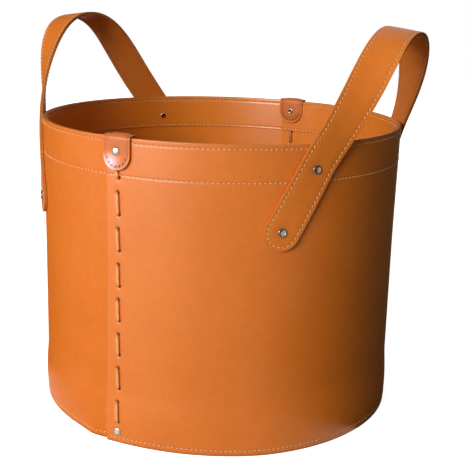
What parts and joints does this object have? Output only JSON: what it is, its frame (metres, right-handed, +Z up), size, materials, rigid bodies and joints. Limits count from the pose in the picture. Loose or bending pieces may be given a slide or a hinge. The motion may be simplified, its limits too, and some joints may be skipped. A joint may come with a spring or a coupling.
{
  "type": "leather log bag",
  "caption": "Round open-topped leather log bag with laced side seams, folded seam tabs and riveted strap handles.",
  "frame": {"origin": "on the floor, in the middle of the bag's box", "axes": "+Z up, +X towards the right handle, -Y towards the seam that the picture shows at the front"},
  "size_m": [0.447, 0.4086, 0.4301],
  "materials": {
    "wall_leather": "smooth, semi-gloss",
    "band_leather": "smooth, semi-gloss",
    "base_leather": "smooth, satin",
    "tab_leather": "smooth, semi-gloss",
    "lace_leather": "smooth, satin",
    "strap_leather": "smooth, semi-gloss, dark edges",
    "lining_leather": "smooth, satin",
    "board": "matt fibreboard",
    "rivet_metal": "polished nickel"
  },
  "bodies": {
    "bag": {"right_wall_panel": "wall_leather", "left_wall_panel": "wall_leather", "right_rim_band": "band_leather", "left_rim_band": "band_leather", "base_tray": "base_leather", "base_board": "board", "base_liner": "base_leather", "front_seam_tab": "tab_leather", "back_seam_tab": "tab_leather", "front_seam_lace": "lace_leather", "back_seam_lace": "lace_leather", "tab_rivet_caps": "rivet_metal", "tab_rivet_backs": "rivet_metal", "foot_rivet_caps": "rivet_metal", "foot_rivet_backs": "rivet_metal", "handle_rivet_caps": "rivet_metal", "handle_rivet_backs": "rivet_metal", "right_strap_ends": "strap_leather", "right_lining_ends": "lining_leather", "right_handle_bends": "strap_leather", "left_strap_ends": "strap_leather", "left_lining_ends": "lining_leather", "left_handle_bends": "strap_leather"},
    "right_handle": {"right_handle_strap": "strap_leather", "right_handle_lining": "lining_leather"},
    "left_handle": {"left_handle_strap": "strap_leather", "left_handle_lining": "lining_leather"}
  },
  "joints": [
    {"name": "right_handle_flex", "type": "hinge", "parent": "bag", "child": "right_handle", "pos_m": [0.17554, 0.0046, 0.326], "axis": [0.0262, -0.9997, 0], "range_deg": [-25, 45], "stiffness_Nm_per_rad": 1, "deforming": ["right_handle_bends"]},
    {"name": "left_handle_flex", "type": "hinge", "parent": "bag", "child": "left_handle", "pos_m": [-0.17554, 0.0046, 0.326], "axis": [0.0262, 0.9997, 0], "range_deg": [-25, 45], "stiffness_Nm_per_rad": 1, "deforming": ["left_handle_bends"]}
  ]
}
